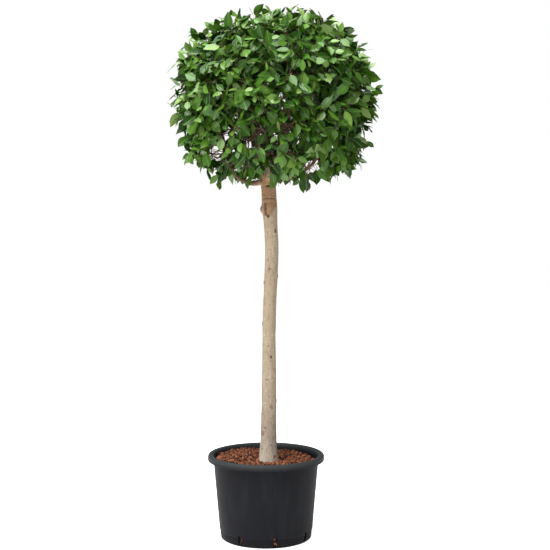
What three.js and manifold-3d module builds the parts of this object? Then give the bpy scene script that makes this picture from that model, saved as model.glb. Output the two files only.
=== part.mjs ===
// Standard fig tree with a clipped round head on a clean stem, standing in a black nursery pot.
// Millimetres, +Z up, +X to the right and -Y to the front. The origin is the middle of the pot's underside.
import * as THREE from "three";
import Module from "manifold-3d";
import { mergeVertices } from "three/addons/utils/BufferGeometryUtils.js";

const wasm = await Module();
wasm.setup();

const gap = 0.3; // clearance between two pieces that touch
const shortestEdge = 0.01;
const thinnestFace = 0.0005;
const fullTurn = 2 * Math.PI;
const goldenAngle = Math.PI * (3 - Math.sqrt(5));
const up = new THREE.Vector3(0, 0, 1);

const pot = {
  height: 290,
  baseRadius: 157, // outside, at the underside
  neckRadius: 180.5, // outside, right under the lip
  wall: 3,
  floor: 4,
  lipRadius: 200,
  lipHeight: 21,
  lipRound: 5,
  lipSkin: 3.5,
  bandHeight: 32, // the lower band that stacks into the next pot
  bandStep: 2.6,
  slots: 8,
  slotWidth: 10,
  slotBottom: 5,
  slotTop: 34,
  slotDepth: 26,
  slotPhase: THREE.MathUtils.degToRad(-78),
  segments: 36,
};

const granules = { level: 265.7, grain: 7, ringStep: 24, segments: 36 };

const trunk = {
  footHeight: granules.level + gap,
  forkHeight: 1276,
  footRadius: 27,
  topRadius: 22.5,
  taperHeight: 520,
  flare: 6.5, // extra radius of the root flare
  flareHeight: 34,
  crownSwell: 4, // extra radius at the head where the limbs leave
  swellHeight: 50,
  domeHeight: 9,
  sides: 12,
  ringStep: 52,
  // the stem's sway: height, then how far its middle stands to the right and to the back
  sway: [
    [266, 7.5, 0],
    [520, 10.5, 3],
    [760, 11, 5],
    [1000, 20, 2],
    [1150, 12, -2],
    [1276, 7, 0],
  ],
};

// Scars of old side shoots: height, direction in degrees and size. Direction 0 is right, -90 the front.
const knots = [
  { height: 1134, direction: 200, size: 8 },
  { height: 1060, direction: -48, size: 6 },
  { height: 908, direction: 2, size: 5 },
  { height: 627, direction: -62, size: 6 },
  { height: 455, direction: -68, size: 6 },
  { height: 360, direction: -140, size: 7 },
];
const pruningScar = { height: 1098, direction: -95, width: 17, length: 42, depth: 5 };

const crown = {
  centre: new THREE.Vector3(30, 0, 1512),
  radius: 350,
  halfHeight: 308,
  squareness: 2.8, // 2 would be an ellipsoid, more is boxier
  twigReach: 0.95, // where twigs end, as a share of the outline
  leafReach: 1.06,
  coreReach: 0.74,
  coreBottom: 1352,
  coreTop: 1745,
  shaft: 66, // radius that the cores of the lower masses leave round the upright limbs
  twigCount: 116,
};

const leaf = {
  length: 104,
  width: 58,
  widest: 0.46, // where along its length it is widest
  fold: 5,
  thickness: 1.8,
  places: [0.98, 0.8, 0.6], // along a twig, tip first
  spacing: 38, // between the middles of two leaves
};

const limbSides = 7;
const lowLimbs = {
  name: "low",
  count: 5,
  firstDirection: 190,
  forkRise: -36, // height of the limb's collar over the fork
  collar: 44,
  heartRadius: 195,
  heartHeight: 1415,
  knee: { radius: 78, heights: [1226, 1262, 1248, 1250, 1246] },
  tip: { radius: 146, heights: [1262, 1310, 1296, 1292, 1286] },
  baseRadius: 9.5,
  tipRadius: 6,
  seeds: [14300, 6301, 7302, 41303, 48304], // a mass's seed is one whose crossing leaves fuse cleanly
};
const highLimbs = {
  name: "high",
  count: 4,
  firstDirection: 226,
  forkRise: -22,
  collar: 80,
  heartRadius: 150,
  heartHeight: 1606,
  knee: { radius: 54, heights: [1362, 1356, 1368, 1360] },
  tip: { radius: 78, heights: [1462, 1456, 1466, 1460] },
  baseRadius: 12,
  tipRadius: 8,
  seeds: [10700, 8701, 8702, 10703],
};
const topLimb = {
  name: "top",
  count: 1,
  firstDirection: 20,
  forkRise: -20,
  collar: 96,
  heartRadius: 14,
  heartHeight: 1700,
  knee: { radius: 4, heights: [1380] },
  tip: { radius: 10, heights: [1520] },
  baseRadius: 10,
  tipRadius: 6.5,
  seeds: [14900],
};

const colours = {
  potPlastic: new THREE.MeshStandardMaterial({ color: 0x26282b, roughness: 0.55, metalness: 0 }),
  granules: new THREE.MeshStandardMaterial({ color: 0x7a4636, roughness: 0.95, metalness: 0 }),
  bark: new THREE.MeshStandardMaterial({ color: 0xb09a80, roughness: 0.85, metalness: 0 }),
  youngBark: new THREE.MeshStandardMaterial({ color: 0x6e5240, roughness: 0.85, metalness: 0 }),
  leaves: new THREE.MeshStandardMaterial({ color: 0x2f6227, roughness: 0.45, metalness: 0 }),
};

// A repeatable source of numbers from 0 to 1.
function seeded(seed) {
  let state = seed >>> 0;
  return () => {
    state = (state + 0x6d2b79f5) | 0;
    let t = Math.imul(state ^ (state >>> 15), 1 | state);
    t = (t + Math.imul(t ^ (t >>> 7), 61 | t)) ^ t;
    return ((t ^ (t >>> 14)) >>> 0) / 4294967296;
  };
}

// The geometry with its positions alone, and shared corners merged.
function bare(geometry) {
  geometry.deleteAttribute("uv");
  geometry.deleteAttribute("normal");
  return mergeVertices(geometry, 1e-3);
}

function solidOf(geometry) {
  const merged = bare(geometry);
  return new wasm.Manifold(
    new wasm.Mesh({
      numProp: 3,
      vertProperties: merged.attributes.position.array,
      triVerts: new Uint32Array(merged.index.array),
    }),
  );
}

// All solids as one. A hollow that the joining seals is filled, and a loose scrap is dropped.
function fused(solids) {
  const joined = largestBody(solids.reduce((sum, next) => sum.add(next)).simplify(shortestEdge));
  return largestBody(solidOf(geometryOf(joined)));
}

// Whether a solid can be stored with rounded corners: each edge has two faces, and no face is a mere line.
function isStorable(geometry) {
  const corners = geometry.attributes.position;
  const index = geometry.index.array;
  const used = new Map();
  for (let i = 0; i < index.length; i += 3) {
    const face = [0, 1, 2].map((k) =>
      new THREE.Vector3().fromBufferAttribute(corners, index[i + k]).multiplyScalar(1e4).round(),
    );
    const keys = face.map((corner) => corner.toArray().join());
    if (new Set(keys).size < 3) continue;
    const lengths = face.map((corner, k) => corner.distanceTo(face[(k + 1) % 3]));
    const area = new THREE.Triangle(...face).getArea();
    if ((2 * area) / Math.max(...lengths) < 1e4 * thinnestFace) return false;
    for (let side = 0; side < 3; side++) {
      const edge = [keys[side], keys[(side + 1) % 3]].sort().join("|");
      used.set(edge, (used.get(edge) || 0) + 1);
    }
  }
  return [...used.values()].every((count) => count === 2);
}

function largestBody(solid) {
  return solid.decompose().reduce((best, next) => (next.volume() > best.volume() ? next : best));
}

function geometryOf(solid) {
  const mesh = solid.getMesh();
  const corners = new Float32Array(mesh.numVert * 3);
  for (let i = 0; i < mesh.numVert; i++) {
    corners.set(mesh.vertProperties.subarray(i * mesh.numProp, i * mesh.numProp + 3), i * 3);
  }
  const geometry = new THREE.BufferGeometry();
  geometry.setAttribute("position", new THREE.BufferAttribute(corners, 3));
  geometry.setIndex(new THREE.BufferAttribute(mesh.triVerts, 1));
  geometry.computeVertexNormals();
  return geometry;
}

function named(name, geometry, material) {
  const mesh = new THREE.Mesh(geometry, material);
  mesh.name = name;
  return mesh;
}

// A profile of [radius, height] pairs turned round the upright axis.
function turned(profile, segments) {
  const points = profile.map(([radius, height]) => new THREE.Vector2(radius, height));
  return new THREE.LatheGeometry(points, segments).rotateX(Math.PI / 2);
}

// A stretch of a longer curve, between two distances along it.
class Stretch extends THREE.Curve {
  constructor(whole, from, to) {
    super();
    this.whole = whole;
    this.from = from / whole.getLength();
    this.to = to / whole.getLength();
  }
  getPoint(share, target = new THREE.Vector3()) {
    return this.whole.getPointAt(THREE.MathUtils.lerp(this.from, this.to, share), target);
  }
}

// A closed tapering limb: a cylinder whose rings are moved onto the curve.
function limb(curve, startRadius, endRadius, sides, rings) {
  const shape = bare(new THREE.CylinderGeometry(1, 1, 1, sides, rings));
  const frames = curve.computeFrenetFrames(rings, false);
  const corners = shape.attributes.position;
  for (let i = 0; i < corners.count; i++) {
    const ring = Math.round((corners.getY(i) + 0.5) * rings);
    const across = new THREE.Vector2(corners.getX(i), corners.getZ(i));
    across.multiplyScalar(THREE.MathUtils.lerp(startRadius, endRadius, ring / rings));
    const place = curve
      .getPointAt(ring / rings)
      .addScaledVector(frames.normals[ring], across.x)
      .addScaledVector(frames.binormals[ring], -across.y);
    corners.setXYZ(i, place.x, place.y, place.z);
  }
  return shape;
}

function makePot() {
  const p = pot;
  const slope = (p.neckRadius - p.baseRadius) / (p.height - p.lipHeight);
  const outside = (height) => p.baseRadius + slope * height;
  const inside = (height) => outside(height) - p.wall - p.bandStep;
  const lipBottom = p.height - p.lipHeight;
  const skirt = p.lipRadius - p.lipSkin;
  const body = solidOf(
    turned(
      [
        [0, 0],
        [p.baseRadius - 6, 0],
        [p.baseRadius - p.bandStep, 4],
        [outside(p.bandHeight) - p.bandStep, p.bandHeight],
        [outside(p.bandHeight + 2), p.bandHeight + 2],
        [outside(p.height - 6), p.height - 6],
        [skirt, p.height - 6],
        [skirt, lipBottom],
        [p.lipRadius - 1, lipBottom],
        [p.lipRadius, lipBottom + 2],
        [p.lipRadius, p.height - p.lipRound],
        [p.lipRadius - p.lipRound, p.height],
        [p.neckRadius + 3, p.height],
        [inside(p.height - 6), p.height - 4],
        [inside(p.floor), p.floor],
        [0, p.floor],
      ],
      p.segments,
    ),
  );
  const slots = Array.from({ length: p.slots }, (_, i) => {
    const height = p.slotTop - p.slotBottom;
    const slot = new THREE.BoxGeometry(p.slotDepth, p.slotWidth, height);
    slot.translate(p.baseRadius, 0, p.slotBottom + height / 2);
    return solidOf(slot.rotateZ(p.slotPhase + (i * fullTurn) / p.slots));
  });
  return fused([slots.reduce((rest, slot) => rest.subtract(slot), body)]);
}

// The filling of clay granules: the pot's inside less the gap. Its top is grainy, and flat under the stem.
function makeGranules() {
  const g = granules;
  const slope = (pot.neckRadius - pot.baseRadius) / (pot.height - pot.lipHeight);
  const wallAt = (height) => pot.baseRadius + slope * height - pot.wall - pot.bandStep - gap;
  const flat = trunk.footRadius + trunk.flare + trunk.sway[0][1] + 8;
  const bottom = pot.floor + gap;
  const rim = wallAt(g.level - g.grain);
  const profile = [
    [0, bottom],
    [wallAt(bottom), bottom],
    [rim, g.level - g.grain],
  ];
  const ringCount = Math.floor((rim - flat) / g.ringStep);
  for (let ring = ringCount - 1; ring >= 0; ring--) {
    profile.push([flat + ring * g.ringStep, g.level]);
  }
  profile.push([0, g.level]);
  const shape = bare(turned(profile, g.segments));
  const corners = shape.attributes.position;
  const random = seeded(11);
  for (let i = 0; i < corners.count; i++) {
    const radius = Math.hypot(corners.getX(i), corners.getY(i));
    const grainy = corners.getZ(i) > g.level - 1 && radius > flat + 1;
    if (grainy) {
      const turn = (random() - 0.5) * 0.09;
      const x = corners.getX(i) * Math.cos(turn) - corners.getY(i) * Math.sin(turn);
      const y = corners.getX(i) * Math.sin(turn) + corners.getY(i) * Math.cos(turn);
      corners.setXYZ(i, x, y, g.level + (random() - 0.35) * g.grain);
    }
  }
  return solidOf(shape);
}

const stemLine = new THREE.CatmullRomCurve3(
  trunk.sway.map(([height, right, back]) => new THREE.Vector3(right, back, height)),
);

// The stem's middle at a height.
function stemAt(height) {
  let low = 0;
  let high = 1;
  for (let step = 0; step < 24; step++) {
    const middle = (low + high) / 2;
    if (stemLine.getPoint(middle).z < height) low = middle;
    else high = middle;
  }
  return stemLine.getPoint(low).setZ(height);
}

function stemRadius(height, direction) {
  const t = trunk;
  const rise = height - t.footHeight;
  const taper = THREE.MathUtils.lerp(t.footRadius, t.topRadius, Math.min(1, rise / t.taperHeight));
  const lobes = 1 + 0.28 * Math.cos(3 * direction + 0.6);
  const flare = t.flare * lobes * Math.exp(-rise / t.flareHeight);
  const swell = t.crownSwell * Math.exp(-Math.max(0, t.forkHeight - height) / t.swellHeight);
  const s = pruningScar;
  const aside = wrapped(direction - THREE.MathUtils.degToRad(s.direction)) * t.topRadius;
  const scar = s.depth * Math.exp(-((aside / s.width) ** 2) - ((height - s.height) / s.length) ** 2);
  return taper + flare + swell + scar;
}

function wrapped(angle) {
  return Math.atan2(Math.sin(angle), Math.cos(angle));
}

// The clean stem: horizontal rings up its sway, a domed head with a collar for each limb, and knots.
function makeTrunk(limbs) {
  const t = trunk;
  const rise = t.forkHeight - t.footHeight;
  const rings = Math.round(rise / t.ringStep);
  const shape = bare(new THREE.CylinderGeometry(1, 1, 1, t.sides, rings));
  const corners = shape.attributes.position;
  for (let i = 0; i < corners.count; i++) {
    // rings lie closer together near the foot, where the stem flares
    const share = (corners.getY(i) + 0.5) ** 1.25;
    const direction = Math.atan2(-corners.getZ(i), corners.getX(i));
    const height = t.footHeight + share * rise;
    const onAxis = Math.hypot(corners.getX(i), corners.getZ(i)) < 0.5;
    const radius = onAxis ? 0 : stemRadius(height, direction);
    const middle = stemAt(height);
    const dome = onAxis && share > 0.5 ? t.domeHeight : 0;
    corners.setXYZ(
      i,
      middle.x + radius * Math.cos(direction),
      middle.y + radius * Math.sin(direction),
      height + dome,
    );
  }
  const pieces = [solidOf(shape)];
  for (const knot of knots) {
    const direction = THREE.MathUtils.degToRad(knot.direction);
    const out = stemRadius(knot.height, direction);
    const middle = stemAt(knot.height);
    const bump = new THREE.IcosahedronGeometry(knot.size, 0).scale(0.9, 0.9, 1.3).rotateZ(direction);
    bump.translate(
      middle.x + (out - 0.45 * knot.size) * Math.cos(direction),
      middle.y + (out - 0.45 * knot.size) * Math.sin(direction),
      knot.height,
    );
    pieces.push(solidOf(bump));
  }
  for (const one of limbs) {
    const line = new Stretch(one.line, 0, one.collar);
    pieces.push(solidOf(limb(line, one.baseRadius + 3, one.baseRadius, limbSides, 2)));
  }
  return fused(pieces);
}

// Each limb's whole line, from the stem's middle past its collar and tip to the far end of its mass.
function planLimbs(kind, seed) {
  const random = seeded(seed);
  return Array.from({ length: kind.count }, (_, i) => {
    const direction = THREE.MathUtils.degToRad(kind.firstDirection + (360 / kind.count) * i);
    const wander = (random() - 0.5) * 0.24;
    const rootHeight = trunk.forkHeight + kind.forkRise + (random() - 0.5) * 14;
    const root = stemAt(rootHeight);
    const away = (radius, height, turn = 0) =>
      new THREE.Vector3(
        crown.centre.x * Math.min(1, radius / 120) + radius * Math.cos(direction + turn),
        radius * Math.sin(direction + turn),
        height,
      );
    const heart = away(kind.heartRadius, kind.heartHeight);
    const tip = away(kind.tip.radius, kind.tip.heights[i], wander * 0.5);
    const knee = away(kind.knee.radius, kind.knee.heights[i], wander);
    const outwards = heart.clone().sub(crown.centre).setZ((heart.z - crown.centre.z) * 1.2).normalize();
    const end = heart.clone().addScaledVector(outwards, 60);
    const line = new THREE.CatmullRomCurve3([root, knee, tip, heart, end], false, "centripetal");
    line.arcLengthDivisions = 400;
    return {
      name: `${kind.name}_${i + 1}`,
      line,
      heart,
      outwards,
      collar: kind.collar,
      tipLength: lengthTo(line, tip),
      baseRadius: kind.baseRadius,
      tipRadius: kind.tipRadius,
      isLow: kind === lowLimbs,
      seed: kind.seeds[i],
    };
  });
}

// The distance along a line to one of its points.
function lengthTo(line, point) {
  const steps = 200;
  let best = 0;
  for (let i = 1; i <= steps; i++) {
    if (line.getPointAt(i / steps).distanceTo(point) < line.getPointAt(best / steps).distanceTo(point)) {
      best = i;
    }
  }
  return (best / steps) * line.getLength();
}

function makeBough(one) {
  const line = new Stretch(one.line, one.collar + gap, one.tipLength);
  return solidOf(limb(line, one.baseRadius, one.tipRadius, limbSides, 5));
}

// How far out of the crown's outline a point is: 1 is on it.
function outlineShare(point) {
  const aside = Math.hypot(point.x - crown.centre.x, point.y - crown.centre.y) / crown.radius;
  const above = Math.abs(point.z - crown.centre.z) / crown.halfHeight;
  return (aside ** crown.squareness + above ** crown.squareness) ** (1 / crown.squareness);
}

// Points spread evenly over the crown by the golden angle, at a share of its outline.
function spreadOverCrown(count, share) {
  return Array.from({ length: count }, (_, i) => {
    const z = 1 - (2 * (i + 0.5)) / count;
    const aside = Math.sqrt(1 - z * z);
    const turn = i * goldenAngle;
    const ray = new THREE.Vector3(Math.cos(turn) * aside, Math.sin(turn) * aside, z);
    const point = crown.centre.clone().add(ray.clone().multiplyScalar(100));
    const reach = (100 * share) / outlineShare(point);
    return crown.centre.clone().addScaledVector(ray, reach);
  });
}

// A mass's own space is what lies nearer to its heart than to any other. Gives how far inside a point is.
function depthInSpace(point, own, limbs) {
  let depth = Infinity;
  for (const other of limbs) {
    if (other === own) continue;
    const across = point.distanceToSquared(other.heart) - point.distanceToSquared(own.heart);
    depth = Math.min(depth, across / (2 * own.heart.distanceTo(other.heart)));
  }
  return depth;
}

// Wood that a mass keeps off: the stem, every limb and the inner stems of the other masses.
function woodToAvoid(own, limbs) {
  const beads = [];
  for (let height = 1180; height <= trunk.forkHeight; height += 12) {
    beads.push({ at: stemAt(height), radius: stemRadius(height, 0) + 3 });
  }
  for (const one of limbs) {
    const length = one === own ? one.tipLength : one.line.getLength();
    for (let along = 0; along <= length; along += 8) {
      const radius = THREE.MathUtils.lerp(one.baseRadius + 2, one.tipRadius, along / length);
      beads.push({ at: one.line.getPointAt(along / one.line.getLength()), radius });
    }
  }
  return beads;
}

function clearOf(points, beads, clearance) {
  return points.every((p) => beads.every((bead) => p.distanceTo(bead.at) > bead.radius + clearance));
}

// The dense inside of a mass: a lumpy ball that stops short of its space, the limbs and the leaves.
function makeCore(own, limbs, random) {
  const shape = bare(new THREE.IcosahedronGeometry(1, 1));
  const corners = shape.attributes.position;
  const beads = woodToAvoid(own, limbs);
  const axis = own.heart.clone().sub(crown.centre).setZ(0).normalize();
  for (let i = 0; i < corners.count; i++) {
    const ray = new THREE.Vector3().fromBufferAttribute(corners, i).normalize();
    let reach = 0;
    const allowed = (point) =>
      depthInSpace(point, own, limbs) > 7 &&
      outlineShare(point) < crown.coreReach &&
      point.z > crown.coreBottom &&
      point.z < crown.coreTop &&
      (!own.isLow || point.clone().sub(crown.centre).dot(axis) > crown.shaft) &&
      clearOf([point], beads, 9);
    while (reach < 400 && allowed(own.heart.clone().addScaledVector(ray, reach + 4))) reach += 4;
    const lumpy = reach * (0.86 + 0.14 * random());
    const place = own.heart.clone().addScaledVector(ray, Math.max(lumpy, 6));
    corners.setXYZ(i, place.x, place.y, place.z);
  }
  return solidOf(shape);
}

// A leaf of eight faces: pointed at both ends, widest near the middle, folded a little along its midrib.
function makeLeaf(root, forward, facing, size) {
  const side = facing.clone().cross(forward).normalize();
  const normal = forward.clone().cross(side);
  const length = leaf.length * size;
  const shape = bare(new THREE.OctahedronGeometry(1));
  const corners = shape.attributes.position;
  for (let i = 0; i < corners.count; i++) {
    const [x, y, z] = [corners.getX(i), corners.getY(i), corners.getZ(i)];
    const along = x > 0.5 ? length : x < -0.5 ? 0 : leaf.widest * length;
    const raised = z !== 0 ? (z * leaf.thickness) / 2 - leaf.fold * 0.5 : Math.abs(y) * leaf.fold * 0.5;
    const place = root
      .clone()
      .addScaledVector(forward, along)
      .addScaledVector(side, (y * leaf.width * size) / 2)
      .addScaledVector(normal, x !== 0 ? 0 : raised);
    corners.setXYZ(i, place.x, place.y, place.z);
  }
  return shape;
}

function pointsAlong(line, from) {
  return Array.from({ length: 9 }, (_, i) => line.getPointAt(from + ((1 - from) * i) / 8));
}

// A leaf's corners, and points between each two of them.
function pointsOf(shape) {
  const positions = shape.attributes.position;
  const corners = Array.from({ length: positions.count }, (_, i) =>
    new THREE.Vector3().fromBufferAttribute(positions, i),
  );
  const between = corners.flatMap((a, i) =>
    corners.slice(i + 1).flatMap((b) => [0.25, 0.5, 0.75].map((share) => a.clone().lerp(b, share))),
  );
  return [...corners, ...between];
}

// Leaves round the outer part of a twig. They lie over the crown's outside with their tips hanging a little.
function leavesOf(twig, fits, centres, random) {
  const turnStart = random() * fullTurn;
  const kept = [];
  leaf.places.forEach((share, k) => {
    const root = twig.getPointAt(share);
    const outwards = root.clone().sub(crown.centre).normalize();
    const level = new THREE.Vector3().crossVectors(up, outwards).normalize();
    const droop = 0.45 * (1 - Math.max(0, outwards.z));
    for (let attempt = 0; attempt < 8; attempt++) {
      const turn = turnStart + k * goldenAngle + attempt * 0.8;
      const forward = level.clone().applyAxisAngle(outwards, turn).multiplyScalar(0.85);
      forward.addScaledVector(outwards, 0.12 + 0.35 * random()).addScaledVector(up, -droop).normalize();
      const facing = outwards.clone().addScaledVector(up, 0.3);
      facing.x += (random() - 0.5) * 0.5;
      facing.y += (random() - 0.5) * 0.5;
      const size = (0.9 + 0.26 * random()) * (1 - 0.06 * attempt);
      const made = makeLeaf(root, forward, facing.normalize(), size);
      const centre = root.clone().addScaledVector(forward, 0.5 * leaf.length * size);
      const isAlone = centres.every((other) => other.distanceTo(centre) > leaf.spacing);
      const points = pointsOf(made);
      const isOutside = points.every((point) => outlineShare(point) > crown.coreReach);
      if (isAlone && isOutside && fits(points)) {
        centres.push(centre);
        kept.push(made);
        break;
      }
    }
  });
  return kept;
}

// One mass: a stem that carries on from its limb, side branches, and from each a fan of leafy twigs.
function makeMass(own, limbs, tips) {
  const random = seeded(own.seed);
  const beads = woodToAvoid(own, limbs);
  const fits = (points) =>
    points.every((p) => depthInSpace(p, own, limbs) > 0.6 && outlineShare(p) < crown.leafReach) &&
    clearOf(points, beads, 5);
  const length = own.line.getLength();
  const stem = new Stretch(own.line, own.tipLength + gap, length);
  const pieces = [
    solidOf(limb(stem, own.tipRadius, 3.5, 6, 4)),
    makeCore(own, limbs, random),
  ];
  const centres = [];
  const ahead = own.outwards;
  const aside = new THREE.Vector3().crossVectors(up, ahead).normalize();
  const above = new THREE.Vector3().crossVectors(ahead, aside);
  const around = (tip) => {
    const arm = tip.clone().sub(own.heart);
    return Math.atan2(arm.dot(above), arm.dot(aside));
  };
  const sorted = [...tips].sort((a, b) => around(a) - around(b));
  const perBranch = 3;
  for (let first = 0; first < sorted.length; first += perBranch) {
    const group = sorted.slice(first, first + perBranch);
    const middle = group.reduce((sum, tip) => sum.add(tip), new THREE.Vector3());
    middle.divideScalar(group.length);
    const candidates = [0.4, 0.6, 0.8, 0.95].flatMap((share) =>
      [0.5, 0.62].map((reach) => {
        const start = stem.getPointAt(share);
        return new THREE.LineCurve3(start, start.clone().lerp(middle, reach));
      }),
    );
    const branch = candidates.find((line) => fits(pointsAlong(line, 0.2)));
    if (!branch) continue;
    pieces.push(solidOf(limb(branch, 4.4, 3.4, 4, 1)));
    const node = branch.v2;
    for (const tip of group) {
      const bend = node.clone().lerp(tip, 0.5).addScaledVector(up, 8 + 10 * random());
      const back = node.clone().lerp(branch.v1, 3 / node.distanceTo(branch.v1));
      const twig = new THREE.CatmullRomCurve3([back, bend, tip], false, "centripetal");
      if (!fits(pointsAlong(twig, 0.1))) continue;
      pieces.push(solidOf(limb(twig, 3.2, 1.9, 3, 2)));
      pieces.push(...leavesOf(twig, fits, centres, random).map(solidOf));
    }
  }
  const mass = fused(pieces);
  if (!isStorable(geometryOf(mass))) throw new Error(`${own.name} needs another seed`);
  return mass;
}

const limbs = [...planLimbs(lowLimbs, 3), ...planLimbs(highLimbs, 7), ...planLimbs(topLimb, 9)];
const tips = spreadOverCrown(crown.twigCount, crown.twigReach);

const tree = new THREE.Group();
tree.add(named("pot", geometryOf(makePot()), colours.potPlastic));
tree.add(named("granules", geometryOf(makeGranules()), colours.granules));
tree.add(named("trunk", geometryOf(makeTrunk(limbs)), colours.bark));
for (const one of limbs) {
  const own = tips.filter((tip) => depthInSpace(tip, one, limbs) > 0);
  tree.add(named(`bough_${one.name}`, geometryOf(makeBough(one)), colours.youngBark));
  tree.add(named(`foliage_${one.name}`, geometryOf(makeMass(one, limbs, own)), colours.leaves));
}

export default tree;
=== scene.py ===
import math
import random

import bmesh
import bpy
import numpy as np
from mathutils import Matrix, Quaternion, Vector, noise


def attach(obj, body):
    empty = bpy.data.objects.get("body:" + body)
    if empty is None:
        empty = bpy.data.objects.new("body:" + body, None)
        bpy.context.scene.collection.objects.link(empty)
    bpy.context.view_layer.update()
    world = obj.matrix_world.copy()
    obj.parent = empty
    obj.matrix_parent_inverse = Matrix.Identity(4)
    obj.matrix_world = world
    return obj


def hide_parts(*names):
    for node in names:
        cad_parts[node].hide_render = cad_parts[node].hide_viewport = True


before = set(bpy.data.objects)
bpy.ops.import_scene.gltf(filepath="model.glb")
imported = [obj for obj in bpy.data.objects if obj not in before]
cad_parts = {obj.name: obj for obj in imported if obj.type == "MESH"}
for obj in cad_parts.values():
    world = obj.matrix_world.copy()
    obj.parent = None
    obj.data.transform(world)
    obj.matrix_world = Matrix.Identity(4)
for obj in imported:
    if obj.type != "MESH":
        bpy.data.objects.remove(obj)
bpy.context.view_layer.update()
scene = bpy.context.scene
goldenAngle = math.pi * (3 - math.sqrt(5))
up = Vector((0, 0, 1))

# The camera of the photo. The image is taken as 550 x 550.
view = {
    "distance": 3.92,  # in front of the stem
    "height": 1.117,
    "aside": 0.031,
    "lookDown": 3.015,  # degrees
    "lens": 74.7,
}


def placed(name, data):
    made = bpy.data.objects.new(name, data)
    scene.collection.objects.link(made)
    return made


def makeCamera(v):
    data = bpy.data.cameras.new("camera")
    data.lens = v["lens"]
    camera = placed("camera", data)
    camera.location = (v["aside"], -v["distance"], v["height"])
    camera.rotation_euler = (math.radians(90 - v["lookDown"]), 0, 0)
    scene.camera = camera


makeCamera(view)
print("camera is set")


# Shader maths: a link stands for one socket, so that masks read as plain sums.
class Link:
    def __init__(self, finish, socket):
        self.finish, self.socket = finish, socket

    def maths(self, operation, first, second):
        return self.finish.node("ShaderNodeMath", {0: first, 1: second}, operation=operation)

    def __add__(self, other):
        return self.maths("ADD", self, other)

    def __sub__(self, other):
        return self.maths("SUBTRACT", self, other)

    def __rsub__(self, other):
        return self.maths("SUBTRACT", other, self)

    def __mul__(self, other):
        return self.maths("MULTIPLY", self, other)

    __radd__ = __add__
    __rmul__ = __mul__

    # 0 below the first value and 1 above the second, with a soft step between
    def step(self, low, high):
        values = {0: self, 1: low, 2: high}
        return self.finish.node("ShaderNodeMapRange", values, interpolation_type="SMOOTHSTEP")


def withAlpha(colour):
    return colour if isinstance(colour, Link) else (*colour, 1)


class Finish:
    def __init__(self, name, specular=0.5):
        self.material = bpy.data.materials.new(name)
        self.material.use_nodes = True
        self.tree = self.material.node_tree
        self.shader = self.tree.nodes["Principled BSDF"]
        self.give(self.shader, {"Specular IOR Level": specular})

    def give(self, node, values):
        for key, value in values.items():
            socket = node.inputs[key]
            if isinstance(value, Link):
                self.tree.links.new(value.socket, socket)
            else:
                socket.default_value = value

    def node(self, kind, values=None, out=0, **settings):
        made = self.tree.nodes.new(kind)
        for key, value in settings.items():
            setattr(made, key, value)
        self.give(made, values or {})
        return Link(self, made.outputs[out])

    def point(self):
        return self.node("ShaderNodeTexCoord", out="Object")

    def height(self):
        return self.node("ShaderNodeSeparateXYZ", {0: self.point()}, out=2)

    # noise over the piece, its grain squeezed by three factors
    def noise(self, scale, squeeze=(1, 1, 1), detail=3.0):
        place = self.node("ShaderNodeMapping", {"Vector": self.point(), "Scale": squeeze})
        return self.node("ShaderNodeTexNoise", {"Vector": place, "Scale": scale, "Detail": detail})

    def painted(self, name):
        return self.node(
            "ShaderNodeAttribute", out="Fac", attribute_type="GEOMETRY", attribute_name=name
        )

    def mix(self, share, first, second):
        values = {0: share, 6: withAlpha(first), 7: withAlpha(second)}
        return self.node("ShaderNodeMix", values, out=2, data_type="RGBA", clamp_factor=True)

    # coats over a colour: each has a mask and a colour of its own
    def coated(self, colour, coats):
        for mask, coat in coats:
            colour = self.mix(mask, colour, coat)
        return colour

    def finishWith(self, colour, roughness, bump=None, depth=None, strength=None):
        self.give(self.shader, {"Base Color": withAlpha(colour), "Roughness": roughness})
        if bump is not None:
            values = {"Height": bump, "Distance": depth, "Strength": strength}
            self.give(self.shader, {"Normal": self.node("ShaderNodeBump", values)})
        return self.material


def newPiece(name, mesh, materials, nodes):
    piece = placed(name, mesh)
    for material in materials:
        mesh.materials.append(material)
    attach(piece, "root")
    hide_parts(*nodes)


def unit(vectors):
    return vectors / (np.linalg.norm(vectors, axis=-1, keepdims=True) + 1e-12)


def noiseAt(points):
    return np.array([noise.noise(p) for p in points])


# The mesh of a piece with its modifiers worked in.
def applied(piece):
    graph = bpy.context.evaluated_depsgraph_get()
    done = bpy.data.meshes.new_from_object(piece.evaluated_get(graph))
    bpy.data.objects.remove(piece)
    return done


def meshOf(bm, name):
    mesh = bpy.data.meshes.new(name)
    for face in bm.faces:
        face.smooth = True
    bm.to_mesh(mesh)
    bm.free()
    return mesh


# A profile of radius and height turned round the upright axis, with its hard rings rounded off.
def turned(profile, steps, rounding, hardAngle=22):
    bm = bmesh.new()
    corners = [bm.verts.new((radius, 0, height)) for radius, height in profile]
    for first, second in zip(corners, corners[1:]):
        bm.edges.new((first, second))
    bmesh.ops.spin(
        bm, geom=bm.verts[:] + bm.edges[:], cent=(0, 0, 0), axis=(0, 0, 1), angle=2 * math.pi,
        steps=steps, use_merge=True, use_duplicate=False,
    )
    bmesh.ops.remove_doubles(bm, verts=bm.verts, dist=1e-5)
    bmesh.ops.recalc_face_normals(bm, faces=bm.faces)
    hard = [
        e for e in bm.edges
        if len(e.link_faces) == 2
        and abs(e.verts[0].co.z - e.verts[1].co.z) < 1e-6
        and e.calc_face_angle() > math.radians(hardAngle)
    ]
    bmesh.ops.bevel(
        bm, geom=hard, offset=rounding, segments=2, profile=0.5, affect="EDGES", material=-1
    )
    return bm


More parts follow.
